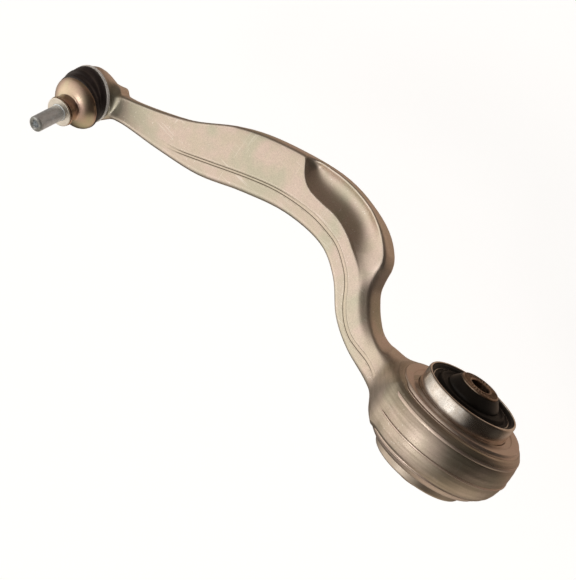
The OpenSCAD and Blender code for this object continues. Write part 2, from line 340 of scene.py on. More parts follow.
def grid_values(shape, low, counts, step):
    """The shape's distance at the grid's points near its surface, and just its sign elsewhere."""
    blocks = np.ceil(counts / BLOCK).astype(int)
    index = np.stack(np.meshgrid(*[np.arange(n) for n in blocks], indexing="ij"), -1)
    index = index.reshape(-1, 3)
    middle = shape(low + (index + 0.5) * BLOCK * step)
    values = np.repeat(np.repeat(np.repeat(
        np.sign(middle).reshape(blocks).astype(np.float32) * 99, BLOCK, 0), BLOCK, 1), BLOCK, 2)
    near = index[np.abs(middle) < BLOCK * step * 1.25]
    local = np.stack(np.meshgrid(*[np.arange(BLOCK)] * 3, indexing="ij"), -1).reshape(-1, 3)
    points = (near[:, None] * BLOCK + local[None]).reshape(-1, 3)
    for part in np.array_split(points, max(1, len(points) // 400_000)):
        values[tuple(part.T)] = shape(low + part * step)
    return values


def surface_mesh(shape, low, high, step):
    """Points and four-sided faces of a shape's surface, one point in each cell it crosses."""
    low = np.array(low, float)
    counts = (np.ceil((np.array(high) - low) / step / BLOCK) * BLOCK).astype(int)
    values = grid_values(shape, low, counts, step)
    inside = values < 0
    size = np.array(values.shape) - 1
    views = [inside[i:i + size[0], j:j + size[1], k:k + size[2]] for i, j, k in CORNERS]
    crossed = np.logical_or.reduce(views) & ~np.logical_and.reduce(views)
    cells = np.argwhere(crossed)
    number = np.full(size, -1, np.int32)
    number[tuple(cells.T)] = np.arange(len(cells))
    corner = np.stack([values[tuple((cells + c).T)] for c in CORNERS], 1)
    total, hits = np.zeros((len(cells), 3)), np.zeros(len(cells))
    for a, b in CELL_EDGES:
        va, vb = corner[:, a], corner[:, b]
        cut = (va < 0) != (vb < 0)
        t = np.where(cut, va / np.where(cut, va - vb, 1), 0)[:, None]
        total += cut[:, None] * (CORNERS[a] * (1 - t) + CORNERS[b] * t)
        hits += cut
    points = low + (cells + total / hits[:, None]) * step
    faces = []
    for axis in range(3):
        one = np.eye(3, dtype=int)[axis]
        b, c = np.eye(3, dtype=int)[(axis + 1) % 3], np.eye(3, dtype=int)[(axis + 2) % 3]
        start = inside[:size[0] + 1 - one[0], :size[1] + 1 - one[1], :size[2] + 1 - one[2]]
        end = inside[one[0]:, one[1]:, one[2]:]
        at = np.argwhere(start != end)
        at = at[(at > 0).all(1) & (at < size).all(1)]
        quad = np.stack([number[tuple((at - s).T)] for s in (b + c, c, 0 * b, b)], 1)
        out = start[tuple(at.T)]
        quad[~out] = quad[~out][:, ::-1]
        faces.append(quad)
    return points, np.vstack(faces)


def gradient(shape, points, reach):
    return np.stack([(shape(points + d) - shape(points - d)) / (2 * reach)
                     for d in np.eye(3) * reach], 1)


def settle(shape, points, limit):
    """Moves points onto the shape's surface."""
    for _ in range(3):
        g = gradient(shape, points, 0.1)
        move = g * (shape(points) / np.maximum((g * g).sum(1), 0.05))[:, None]
        length = np.linalg.norm(move, axis=1)[:, None]
        points = points - move * np.minimum(1, limit / np.maximum(length, 1e-9))
    return points


def relax(points, faces, shape, rounds, limit):
    """Spreads points evenly over the surface."""
    for _ in range(rounds):
        centre = points[faces].mean(1)
        total, count = np.zeros(points.shape), np.bincount(faces.ravel(), minlength=len(points))
        for axis in range(3):
            weight = np.repeat(centre[:, axis], 4)
            total[:, axis] = np.bincount(faces.ravel(), weight, len(points))
        points = settle(shape, 0.5 * points + 0.5 * total / count[:, None], limit)
    return points


def new_object(name, points_mm, faces, matrix=None, sharp=None):
    """A mesh object from points in millimetres, its edges sharp above an angle in degrees."""
    mesh = bpy.data.meshes.new(name)
    mesh.from_pydata((np.asarray(points_mm) * MM).tolist(), [], [list(f) for f in faces])
    mesh.validate()
    mesh.shade_smooth()
    if sharp:
        mesh.set_sharp_from_angle(angle=math.radians(sharp))
    obj = bpy.data.objects.new(name, mesh)
    if matrix:
        obj.matrix_world = matrix
    bpy.context.scene.collection.objects.link(obj)
    return obj


def along(axis, centre_mm):
    """The place of a shape made along Z, put on an axis through a centre."""
    turn = Vector(axis).to_track_quat("Z", "Y").to_matrix().to_4x4()
    return Matrix.Translation(Vector(centre_mm) * MM) @ turn


def lathe(name, profiles, axis, centre, sides=160, sharp=34, teeth=None):
    """Rings turned from closed (height, radius) outlines; teeth = (number, depth, radii)."""
    angle = np.arange(sides) * 2 * math.pi / sides
    points, faces, base = [], [], 0
    for profile in profiles:
        p = np.array(profile, float)
        area = np.sum(p[:, 1] * np.roll(p[:, 0], -1) - np.roll(p[:, 1], -1) * p[:, 0])
        p = p if area > 0 else p[::-1]
        h = np.repeat(p[:, :1], sides, 1)
        r = np.repeat(p[:, 1:], sides, 1)
        if teeth:
            number, depth, low, high = teeth
            toothed = (p[:, 1] > low) & (p[:, 1] < high) & (np.abs(p[:, 0]) > SLEEVE_HALF - 0.5)
            h -= toothed[:, None] * np.sign(h) * depth * (0.5 + 0.5 * np.cos(number * angle))
        ring = np.stack([r * np.cos(angle), r * np.sin(angle), h], -1).reshape(-1, 3)
        i, j = np.meshgrid(np.arange(len(p)), np.arange(sides), indexing="ij")
        k, l = (i + 1) % len(p), (j + 1) % sides
        quad = np.stack([i * sides + j, i * sides + l, k * sides + l, k * sides + j], -1)
        points.append(ring)
        faces.append(quad.reshape(-1, 4) + base)
        base += len(ring)
    return new_object(name, np.vstack(points), np.vstack(faces), along(axis, centre), sharp)


def sculpted(name, shape, low, high, step, matrix=None, rounds=2):
    """A closed mesh of a shape, with normals and edge wear read from the shape itself."""
    points, faces = surface_mesh(shape, low, high, step)
    points = settle(shape, points, step)
    points = relax(points, faces, shape, rounds, step)
    obj = new_object(name, points, faces, matrix)
    reach = 0.45 * step
    normals = gradient(shape, points, reach)
    normals /= np.linalg.norm(normals, axis=1)[:, None]
    obj.data.normals_split_custom_set_from_vertices(normals.tolist())
    feel = 1.5 * step
    bend = shape(points + feel * normals) + shape(points - feel * normals)
    wide = sum(shape(points + d) + shape(points - d) for d in np.eye(3) * feel)
    wear = obj.data.attributes.new("wear", "FLOAT", "POINT")
    wear.data.foreach_set("value", ((wide - bend) / feel).astype(np.float32))
    return obj


# ---------------------------------------------------------------- materials


def node_material(name):
    mat = bpy.data.materials.new(name)
    mat.use_nodes = True
    tree = mat.node_tree
    return mat, tree, tree.nodes["Principled BSDF"]


def add(tree, kind, **values):
    """A node with those properties, or inputs by name."""
    node = tree.nodes.new(kind)
    for key, value in values.items():
        if hasattr(node, key):
            setattr(node, key, value)
        else:
            node.inputs[key.replace("_", " ")].default_value = value
    return node


def linked(tree, node, **sources):
    """The node, its inputs (by name, _ for a space) fed from those sockets."""
    for key, source in sources.items():
        tree.links.new(source, node.inputs[key.replace("_", " ")])
    return node


def noise(tree, where, scale, detail=3.0, stretch=(1, 1, 1), turn=(0, 0, 0)):
    """Noise from 0 to 1 about 0.5; scale is in features a metre."""
    placed = linked(tree, add(tree, "ShaderNodeMapping", Scale=stretch, Rotation=turn),
                    Vector=where)
    cloud = add(tree, "ShaderNodeTexNoise", Scale=scale, Detail=detail)
    return linked(tree, cloud, Vector=placed.outputs["Vector"]).outputs["Fac"]


def ranged(tree, value, low, high, to_low=0.0, to_high=1.0):
    node = add(tree, "ShaderNodeMapRange", From_Min=low, From_Max=high, To_Min=to_low,
               To_Max=to_high)
    return linked(tree, node, Value=value).outputs["Result"]


def scaled(tree, a, b, operation="MULTIPLY"):
    """a times b, or another sum of the two; b is a socket or a number."""
    node = add(tree, "ShaderNodeMath", operation=operation)
    tree.links.new(a, node.inputs[0])
    if isinstance(b, float):
        node.inputs[1].default_value = b
    else:
        tree.links.new(b, node.inputs[1])
    return node.outputs["Value"]


def mixed(tree, factor, a, b):
    """Colour a where the factor is 0 and b where it is 1; each is a socket or three numbers."""
    node = add(tree, "ShaderNodeMix", data_type="RGBA")
    tree.links.new(factor, node.inputs[0])
    for value, place in ((a, 6), (b, 7)):
        if isinstance(value, tuple):
            node.inputs[place].default_value = (*value, 1)
        else:
            tree.links.new(value, node.inputs[place])
    return node.outputs[2]


def ring_coordinates(tree, where):
    """(distance from Z, height) of each point, so that a texture runs round the Z axis."""
    split = linked(tree, add(tree, "ShaderNodeSeparateXYZ"), Vector=where)
    flat = linked(tree, add(tree, "ShaderNodeCombineXYZ"), X=split.outputs[0],
                  Y=split.outputs[1])
    far = linked(tree, add(tree, "ShaderNodeVectorMath", operation="LENGTH"),
                 Vector=flat.outputs[0])
    return linked(tree, add(tree, "ShaderNodeCombineXYZ"), X=far.outputs["Value"],
                  Y=split.outputs[2]).outputs[0]


def surface(name, tints, roughness, metallic=1.0, blotch=90.0, grain=1800.0, bump=0.02,
            turned=0.0, scratches=0.0, wear=0.0, specular=0.5, groove=None, stain_and_shade=None,
            bands=False):
    """A material: two tints in blotches, grain, turning marks, scratches and worn edges.

    bump is the height of the grain in millimetres, and turned that of the turning marks.
    groove is the colour of the painted shade in the trim ridge's grooves, and stain a colour and
    the heights between which it fades in: the stud's tip is really darker there, the can's foot
    end gets painted shade.
    bands are the flow lines, grime and bright flecks of a forging, all but the flecks on the boss.
    """
    mat, tree, bsdf = node_material(name)
    where = add(tree, "ShaderNodeTexCoord").outputs["Object"]
    cloud = noise(tree, where, blotch)
    fine = noise(tree, where, grain, 2.0)
    colour = mixed(tree, ranged(tree, cloud, 0.38, 0.62), *tints[:2])
    if len(tints) > 2:
        other = noise(tree, where, blotch * 0.45, 2.0, turn=(0.7, 0.4, 0.9))
        colour = mixed(tree, ranged(tree, other, 0.5, 0.64), colour, tints[2])
    colour = mixed(tree, ranged(tree, fine, 0.3, 0.75, 0.0, 0.22), colour, (0.05, 0.04, 0.03))
    rough = ranged(tree, fine, 0.3, 0.7, roughness * 0.85, roughness * 1.15)
    height = scaled(tree, fine, bump * MM)
    if turned:
        marks = noise(tree, ring_coordinates(tree, where), 1300.0, 2.0)
        height = scaled(tree, height, scaled(tree, marks, turned * MM), "ADD")
        colour = mixed(tree, ranged(tree, marks, 0.3, 0.7, 0.0, 0.3), colour, tints[1])
    if scratches:
        thin = noise(tree, where, 95.0, 1.0, (0.35, 9.0, 3.0), (0.2, 0.1, 0.6))
        cross = noise(tree, where, 80.0, 1.0, (8.0, 0.4, 3.0), (0.0, 0.3, 0.35))
        line = scaled(tree, ranged(tree, thin, 0.66, 0.7), ranged(tree, cross, 0.68, 0.72),
                      "MAXIMUM")
        patch = ranged(tree, noise(tree, where, 28.0, 1.0), 0.45, 0.6)
        above = linked(tree, add(tree, "ShaderNodeSeparateXYZ"), Vector=where).outputs[2]
        patch = scaled(tree, patch, ranged(tree, above, 0.004, 0.006))
        line = scaled(tree, scaled(tree, line, patch), scratches)
        colour = mixed(tree, line, colour, (0.95, 0.92, 0.86))
        height = scaled(tree, height, scaled(tree, line, -0.03 * MM), "ADD")
    if wear:
        edge = add(tree, "ShaderNodeAttribute", attribute_name="wear").outputs["Fac"]
        rub = scaled(tree, ranged(tree, edge, 0.12, 0.5), ranged(tree, cloud, 0.3, 0.6, 0.3, 1.0))
        rub = scaled(tree, rub, wear)
        colour = mixed(tree, rub, colour, (0.93, 0.86, 0.77))
        rough = scaled(tree, rough, scaled(tree, rub, -0.12), "ADD")
    # Painted shade in the trim ridge's grooves, read from a point attribute
    if groove:
        painted_shade = add(tree, "ShaderNodeAttribute", attribute_name="groove").outputs["Fac"]
        colour = mixed(tree, painted_shade, colour, groove)
    if bands:
        lines = noise(tree, where, 420.0, 3.0, (0.04, 1.0, 0.04))
        flat = add(tree, "ShaderNodeVectorMath", operation="MULTIPLY")
        flat.inputs[1].default_value = (1, 0, 1)
        tree.links.new(where, flat.inputs[0])
        far = linked(tree, add(tree, "ShaderNodeVectorMath", operation="LENGTH"),
                     Vector=flat.outputs[0]).outputs["Value"]
        near = ranged(tree, far, 0.058, 0.050)
        handled = ranged(tree, far, 0.072, 0.050, 0.0, 0.42)
        colour = mixed(tree, handled, colour, (0.37, 0.305, 0.235))
        dark = scaled(tree, ranged(tree, lines, 0.45, 0.75), scaled(tree, near, 0.6))
        colour = mixed(tree, dark, colour, (0.24, 0.19, 0.14))
        smudge = ranged(tree, noise(tree, where, 60.0, 3.0, turn=(0.5, 0.1, 0.2)), 0.48, 0.64)
        smudge = scaled(tree, smudge, scaled(tree, near, 0.42))
        colour = mixed(tree, smudge, colour, (0.33, 0.29, 0.21))
        height = scaled(tree, height, scaled(tree, scaled(tree, lines, near), 0.09 * MM), "ADD")
        spots = ranged(tree, noise(tree, where, 620.0, 1.0), 0.68, 0.75)
        patch = ranged(tree, noise(tree, where, 22.0, 2.0, turn=(0.3, 0.2, 0.5)), 0.47, 0.6)
        fleck = scaled(tree, scaled(tree, spots, patch), 0.55)
        colour = mixed(tree, fleck, colour, (0.98, 0.95, 0.90))
    # Darker between two heights: the stud's tip is really darker there, the can's foot end gets
    # painted shade
    if stain_and_shade:
        height_up = linked(tree, add(tree, "ShaderNodeSeparateXYZ"), Vector=where).outputs[2]
        ragged = scaled(tree, height_up, scaled(tree, cloud, 0.006), "ADD")
        stain_and_shade_amount = ranged(tree, ragged, stain_and_shade[1], stain_and_shade[2], 0.0, 0.85)
        colour = mixed(tree, stain_and_shade_amount, colour, stain_and_shade[0])
        rough = scaled(tree, rough, scaled(tree, stain_and_shade_amount, 0.2), "ADD")
    relief = linked(tree, add(tree, "ShaderNodeBump", Distance=1.0), Height=height)
    linked(tree, bsdf, Base_Color=colour, Roughness=rough, Normal=relief.outputs["Normal"])
    bsdf.inputs["Metallic"].default_value = metallic
    bsdf.inputs["Specular IOR Level"].default_value = specular
    return mat


FORGED = surface("forged_aluminium", [(0.70, 0.61, 0.50), (0.75, 0.62, 0.54), (0.63, 0.59, 0.47)],
                 0.38, 0.92, 75.0, 1500.0, 0.035, scratches=0.3, wear=0.35, bands=True)
# The ridge's grooves get painted shade
RIDGE = surface("forged_ridge", [(0.69, 0.60, 0.49), (0.72, 0.61, 0.51), (0.64, 0.58, 0.46)],
                0.38, 0.92, 75.0, 1500.0, 0.03, groove=(0.06, 0.045, 0.032))
BOSS_FACE = surface("forged_boss", [(0.64, 0.54, 0.45), (0.66, 0.53, 0.46)], 0.36, 0.92,
                    110.0, 1600.0, 0.02, turned=0.03)
# Painted shade: the can is darker and rougher towards its foot end
CAN = surface("can_steel", [(0.88, 0.85, 0.81), (0.70, 0.63, 0.56)], 0.22, 1.0, 160.0, 1400.0,
              0.008, turned=0.012, scratches=0.4, stain_and_shade=((0.42, 0.35, 0.28), -0.018, -0.021))
SLEEVE = surface("sleeve_steel", [(0.50, 0.37, 0.28), (0.30, 0.22, 0.17)], 0.36, 1.0, 420.0,
                 1700.0, 0.03)
RUBBER = surface("bush_rubber", [(0.006, 0.004, 0.003), (0.010, 0.007, 0.005)], 0.55, 0.0,
                 200.0, 1500.0, 0.03, specular=0.15)
MOULDING = surface("core_moulding", [(0.007, 0.005, 0.004), (0.010, 0.008, 0.006)], 0.4, 0.0,
                   200.0, 2200.0, 0.01, specular=0.25)
BOOT = surface("boot_rubber", [(0.016, 0.010, 0.010), (0.026, 0.017, 0.018)], 0.38, 0.0,
               170.0, 2000.0, 0.015, specular=0.5)
STUD = surface("stud_steel", [(0.92, 0.97, 1.0), (0.78, 0.81, 0.83)], 0.46, 0.75, 260.0,
               1700.0, 0.015, turned=0.02, stain_and_shade=((0.22, 0.22, 0.19), 0.066, 0.0685))
ZINC = surface("zinc_steel", [(0.74, 0.59, 0.44), (0.79, 0.56, 0.46), (0.64, 0.59, 0.41)],
               0.32, 1.0, 85.0, 1500.0, 0.006)
COLLAR = surface("collar_steel", [(0.93, 0.87, 0.77), (0.84, 0.77, 0.67)], 0.38, 1.0, 210.0,
                 1700.0, 0.012, turned=0.01)
RING = surface("ring_steel", [(0.80, 0.77, 0.73), (0.70, 0.66, 0.61)], 0.25, 1.0, 300.0,
               2000.0, 0.005)
CLAMP = surface("clamp_steel", [(0.97, 0.95, 0.92), (0.90, 0.87, 0.83)], 0.3, 0.15, 300.0,
                2000.0, 0.005)
PLASTIC = surface("moulded_plastic", [(0.62, 0.60, 0.54), (0.56, 0.54, 0.48)], 0.45, 0.0,
                  150.0, 1800.0, 0.015)
DARK_PLASTIC = surface("stop_plastic", [(0.05, 0.055, 0.062), (0.06, 0.064, 0.07)], 0.45, 0.0,
                       150.0, 1800.0, 0.015)
ELASTOMER = surface("seal_elastomer", [(0.02, 0.02, 0.02), (0.03, 0.03, 0.03)], 0.5, 0.0,
                    200.0, 1500.0, 0.01)

NODE_MATERIALS = {
    "inner_sleeve": SLEEVE, "core_bulge": MOULDING, "travel_stops": DARK_PLASTIC,
    "main_rubber": RUBBER, "cage_ring": RING, "channel_shells": PLASTIC, "outer_can": CAN,
    "arm_forging": FORGED, "preload_disc": ELASTOMER, "bearing_shell": PLASTIC,
    "retaining_ring": RING, "mouth_seal": ELASTOMER, "boot_cuff": BOOT,
    "boot_clamp_ring": CLAMP, "boot_fold": BOOT, "boot_neck": BOOT, "boot_neck_ring": RING,
    "ball_stud": STUD, "stud_collar": COLLAR, "dome_shield": ZINC,
}
for node_name, node_look in NODE_MATERIALS.items():
    data = frame["nodes"][node_name].data
    data.materials.clear()
    data.materials.append(node_look)

# ---------------------------------------------------------------- pieces on the arm


def place(obj, look, body, slot, *nodes):
    """Gives a piece its material and its body unless it is blended, and hides the CAD nodes it
    replaces; slot is not used.
    """
    obj.data.materials.append(look)
    if body:
        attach(obj, body)
    if nodes:
        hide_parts(*nodes)
    return obj


FORGING_STEP = 0.8
forged_arm = sculpted("forged_arm", forging, (-56, -84, -56), (404, 36, 56), FORGING_STEP)
place(forged_arm, FORGED, "arm", "forged_aluminium", "arm_forging")

# Cross-section of the trim ridge: distance to the left of the line, height, painted shade in its
# grooves
TRIM_SECTION = [(-2.0, -0.75, 0), (-1.95, -0.2, 0), (-1.4, 0.02, 0), (-1.15, -0.03, 0.5),
                (-0.95, -0.22, 0.8), (-0.75, 0.0, 0.4), (-0.5, 0.14, 0), (0.5, 0.14, 0),
                (0.75, 0.0, 0.4), (0.95, -0.2, 0.8), (1.15, -0.03, 0.5), (1.4, 0.02, 0),
                (1.95, -0.2, 0), (2.0, -0.75, 0)]


def trim_strip():
    """The flattened ridge that the trimmed flash leaves along the inner edge."""
    line = curve(TRIM_LINE, 14)
    run = np.gradient(line, axis=0)
    run /= np.linalg.norm(run, axis=1)[:, None]
    left = np.stack([-run[:, 1], run[:, 0]], 1)
    x = line[:, 0]
    ends = smooth((302 - x) / 25) * smooth((x - 51) / 18)
    ridge = 0.25 + 0.75 * smooth((x - 175) / 40)
    points, painted_shade = [], []
    for offset, height, dark in TRIM_SECTION:
        at = line + left * offset
        flank = 1.0 if offset < 0 else smooth((x - 165) / 40)
        inner = abs(offset) < 1.9
        rise = height * (flank * ends * (ridge if height > 0 else 1.0) if inner else 1.0)
        points.append(np.column_stack([at, face_height(at[:, 0], at[:, 1]) + rise]))
        painted_shade.append(dark * flank * ends * np.ones(len(x)))
    n, m = len(TRIM_SECTION), len(line)
    i, j = np.meshgrid(np.arange(n), np.arange(m - 1), indexing="ij")
    k = (i + 1) % n
    faces = np.stack([i * m + j, k * m + j, k * m + j + 1, i * m + j + 1], -1).reshape(-1, 4)
    ends_faces = [[q * m for q in range(n)][::-1], [q * m + m - 1 for q in range(n)]]
    obj = new_object("arm_trim_line", np.vstack(points), faces.tolist() + ends_faces, sharp=60)
    # Painted shade in the ridge's grooves, kept on the points
    groove = obj.data.attributes.new("groove", "FLOAT", "POINT")
    groove.data.foreach_set("value", np.concatenate(painted_shade).astype(np.float32))
    return obj


place(trim_strip(), RIDGE, "arm", "forged_aluminium")

BUSH = (BUSH_AXIS, (0, 0, 0))
END_STEP = [(16.0, 34.25), (18.3, 34.25), (18.7, 34.7), (18.7, 37.9), (18.95, 38.3),
            (19.35, 38.7), (19.5, 39.1), (19.5, 43.9), (19.35, 44.45), (18.9, 44.8),
            (17.5, 44.95), (17.1, 45.3), (16.95, 46.2), (16.0, 46.4)]
FOOT_STEP = [(-18.0, 44.3), (-18.3, 44.9), (-19.0, 45.1), (-19.7, 44.8), (-20.0, 44.0),
             (-20.6, 43.4), (-21.6, 42.8), (-22.8, 41.8), (-23.7, 40.6), (-24.0, 39.6),
             (-24.0, 34.7), (-23.6, 34.25), (-18.0, 34.25)]
place(lathe("boss_end_face", [END_STEP], *BUSH), BOSS_FACE, "arm", "forged_aluminium")
place(lathe("boss_foot_lip", [FOOT_STEP], *BUSH), BOSS_FACE, "arm", "forged_aluminium")


def bead(h, r, half, rise):
    """Outline of a low ridge on a barrel of radius r, sunk into it below."""
    return [(h - half, r - 0.8), (h - half, r - 0.05), (h - half * 0.45, r + rise),
            (h + half * 0.45, r + rise), (h + half, r - 0.05), (h + half, r - 0.8)]


BOSS_RIDGES = [bead(-4.0, 51.25, 0.9, 0.6), bead(-17.6, 46.2, 0.7, 0.5),
               bead(11.2, 50.15, 1.3, 0.2)]
place(lathe("boss_ridges", BOSS_RIDGES, *BUSH), BOSS_FACE, "arm", "forged_aluminium")

# ---------------------------------------------------------------- bush

CAN_WALL = 1.8


def rim(sign):
    """Rolled rim of the can at one end, from the bore to the outside."""
    shape = [(-3.0, -CAN_WALL), (-0.6, -CAN_WALL), (-0.2, -CAN_WALL + 0.15),
             (0.0, -CAN_WALL + 0.5), (-0.03, -0.85), (-0.3, -0.45), (-0.75, -0.15), (-1.5, 0.0)]
    return [(sign * (CAN_HALF + h), CAN_R + r) for h, r in shape]


can = lathe("bush_can", [rim(1) + rim(-1)[::-1]], *BUSH, sides=192)
place(can, CAN, "arm", "can_steel", "outer_can")

RUBBER_FACE = [(26.5, CAN_R - CAN_WALL - 0.05), (30.0, CAN_R - CAN_WALL - 0.05),
               (30.3, CAN_R - CAN_WALL - 0.6), (29.9, 30.4), (28.8, 29.6), (27.6, 28.4),
               (27.3, 27.2), (27.8, 26.0), (29.2, 25.2), (30.3, 24.6), (30.6, 23.9),
               (30.3, 23.2), (29.4, 22.6), (29.0, 21.6), (29.3, 20.4), (30.0, 19.4),
               (26.5, 19.3)]
rubber = lathe("bush_rubber", [RUBBER_FACE + [(-h, r) for h, r in RUBBER_FACE[::-1]]], *BUSH)
place(rubber, RUBBER, "arm", "bush_rubber", "main_rubber")

CORE_SIDE = [(CORE_HALF, SLEEVE_R + 0.03), (CORE_HALF, SLEEVE_R + 0.7),
             (CORE_HALF - 0.5, SLEEVE_R + 1.2), (34.0, 17.4), (32.6, 18.6), (31.6, 19.1),
             (30.5, 19.2)]
core = lathe("bush_core_cone", [CORE_SIDE + [(-h, r) for h, r in CORE_SIDE[::-1]]], *BUSH)
place(core, MOULDING, "bush_core", "core_moulding", "core_bulge")

BOLT_R = 7.1
SLEEVE_END = [(34.0, BOLT_R), (SLEEVE_HALF - 0.6, BOLT_R), (SLEEVE_HALF, BOLT_R + 0.6),
              (SLEEVE_HALF, 8.2), (SLEEVE_HALF, 8.6), (SLEEVE_HALF, 12.7), (SLEEVE_HALF, 13.0),
              (SLEEVE_HALF, SLEEVE_R - 0.6), (SLEEVE_HALF - 0.6, SLEEVE_R), (34.0, SLEEVE_R)]
sleeve = lathe("bush_sleeve", [SLEEVE_END + [(-h, r) for h, r in SLEEVE_END[::-1]]], *BUSH,
               sides=240, teeth=(30, 1.3, 8.5, 12.9))
place(sleeve, SLEEVE, "bush_core", "sleeve_steel", "inner_sleeve")

# ---------------------------------------------------------------- ball joint


def lean(t):
    """The boot's axis, from the cup's at 0 to the stud's at 1."""
    return unit(CUP_AXIS * (1 - t) + STUD_AXIS * t)


BOOT_SIDES = 144


def boot(name, profile):
    """A closed sleeve of (lean, height, radius) points, which turns with its lean."""
    p = np.array(profile)
    sides = BOOT_SIDES
    angle = np.arange(sides) * 2 * math.pi / sides
    points = []
    for t, h, r in p:
        axis = lean(t)
        across = unit(np.cross(axis, (1.0, 0.0, 0.0)))
        other = np.cross(axis, across)
        ring = np.outer(np.cos(angle), across) + np.outer(np.sin(angle), other)
        points.append(BALL + axis * h + ring * r)
    n = len(p)
    i, j = np.meshgrid(np.arange(n), np.arange(sides), indexing="ij")
    k, l = (i + 1) % n, (j + 1) % sides
    faces = np.stack([i * sides + j, i * sides + l, k * sides + l, k * sides + j], -1)
    return new_object(name, np.vstack(points), faces.reshape(-1, 4), sharp=50)


BOOT_WALL = 1.6
SEAM_HEIGHT = 13.4
SEAM = (0.0, SEAM_HEIGHT, 20.1)
FOOT = [(0, 5.35, 20.1), (0, 6.3, 20.25), (0, 7.8, 20.3), (0, 8.4, 20.75), (0, 9.2, 21.1),
        (0, 10.2, 21.05), (0, 11.4, 20.7), (0, 12.4, 20.25), SEAM]
FOLDS = [SEAM, (0.2, 14.1, 20.35), (0.42, 15.0, 20.9), (0.6, 16.1, 20.95), (0.74, 17.3, 20.3),
         (0.84, 18.4, 20.4), (0.93, 19.5, 20.75), (0.98, 20.6, 20.5), (1, 21.5, 19.6),
         (1, 22.2, 18.2)]


def boot_outline(outer, inner_end):
    """The outer points, smoothed, then the inner wall back to the start."""
    line = curve(outer, 5)
    inner = line[::-1] - np.array([0, 0, BOOT_WALL])
    return [tuple(v) for v in line] + inner_end + [tuple(v) for v in inner]


boot_foot = boot("boot_foot", boot_outline(FOOT, []))
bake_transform(boot_foot)
place(boot_foot, BOOT, None, "boot_rubber", "boot_cuff")

NECK = [(1, 22.3, 16.5), (1, 21.4, 14), (1, 21.0, 12.4), (1, 21.6, 11.6), (1, 23.2, 11.3),
        (1, 23.2, 8.7), (1, 20.2, 8.7), (1, 19.8, 10), (1, 20.0, 13), (1, 20.8, 15.6)]
folds_outline = boot_outline(FOLDS, NECK)
boot_folds = boot("boot_folds", folds_outline)
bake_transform(boot_folds)
# The rings follow the lean, so that the folds turn about the ball as they are drawn
place(boot_folds, BOOT, None, "boot_rubber", "boot_fold", "boot_neck")


def wire_loop(h, r, wire):
    """Round section of a wire ring."""
    turn = np.arange(12) * math.pi / 6
    return [(h + wire * math.cos(a), r + wire * math.sin(a)) for a in turn]


clamp = lathe("boot_clamp_wire", [wire_loop(6.3, 20.95, 0.65), wire_loop(7.55, 21.0, 0.65)],
              CUP_AXIS, BALL)
place(clamp, CLAMP, "arm", "clamp_steel", "boot_clamp_ring")

# Heights of the bell and collar above the ball
BELL_OUT = [(22.2, 20.2), (23.7, 19.5), (25.3, 18.3), (26.9, 16.7), (28.4, 14.7), (29.6, 12.4),
            (30.3, 10.8), (31.2, 10.2), (33.0, 9.95), (35.0, 9.95), (36.1, 10.1),
            (36.7, 10.7), (37.2, 11.3), (37.8, 11.5), (38.4, 11.45)]
BELL_IN = [(29.2, 10.0), (28.3, 11.8), (27.3, 13.9), (25.9, 15.8), (24.4, 17.3), (22.9, 18.4),
           (21.7, 19.0)]
bell_outline = ([tuple(v) for v in curve(BELL_OUT, 4)] + [(38.68, 11.2), (38.68, 8.55),
                (29.3, 8.55)] + [tuple(v) for v in curve(BELL_IN, 3)]
                + [(21.5, 19.3), (21.55, 19.9), (21.8, 20.15)])
bell = lathe("dust_bell", [bell_outline], STUD_AXIS, BALL)
place(bell, ZINC, "stud", "zinc_steel", "dome_shield")


def outline_shape(outline, low, high):
    """The shape turned from a (height, radius) outline, along Z."""
    profile = Table(low, high, 0.1, lambda h, r: outline_distance(np.array(outline), h, r))

    def shape(p):
        out = np.hypot(p[:, 0], p[:, 1])
        return profile(p[:, 2], out) + profile.beyond(p[:, 2], out)
    return shape


COLLAR_OUTLINE = [(38.72, 6.65), (38.72, 9.7), (39.0, 9.95), (39.25, 10.2), (39.35, 10.9),
                  (39.6, 11.1), (40.3, 11.1), (40.6, 10.9), (40.7, 10.6), (40.7, 6.65)]
collar_body = outline_shape(COLLAR_OUTLINE, (36, 4), (43, 14))
MARK_R, MARK_AT, MARK_HEIGHT, MARK_TURNS = 0.95, 8.8, 40.95, (0.0, math.pi)


def collar(p):
    """The collar, with a dimple on each side where it was staked."""
    shape = collar_body(p)
    for turn in MARK_TURNS:
        at = np.array([MARK_AT * math.cos(turn), MARK_AT * math.sin(turn), MARK_HEIGHT])
        shape = np.maximum(shape, MARK_R - np.linalg.norm(p - at, axis=1))
    return shape


SMALL_STEP = 0.25
ON_STUD = along(STUD_AXIS, BALL)
collar_piece = sculpted("stud_collar_ring", collar, (-12, -12, 38), (12, 12, 41.5), SMALL_STEP,
                        ON_STUD, 1)
place(collar_piece, COLLAR, "stud", "collar_steel", "stud_collar")

STUD_OUTLINE = [(-11.2, -1), (-11.2, 5.4), (-10.4, 6.93), (-8.5, 9.17), (-6, 10.97),
                (-3, 12.13), (0, 12.5), (3, 12.13), (6, 10.97), (8.5, 9.17), (10, 7.5),
                (10.8, 7.0), (13, 7.0), (17.5, 8.5), (38.7, 8.5), (38.7, 6.6), (40.9, 6.6),
                (41.1, 5.85), (41.6, 5.85), (41.9, 6.0), (64.3, 6.0), (65.1, 5.6),
                (65.5, 4.9), (65.5, -1)]
stud_body = outline_shape(STUD_OUTLINE, (-14, -0.5), (68, 15))
HEX_R, HEX_DEPTH, STUD_TIP = 3.2 * math.cos(math.pi / 6), 5.0, 65.5
MOUTH_R, BEVEL = 3.9, 0.7071


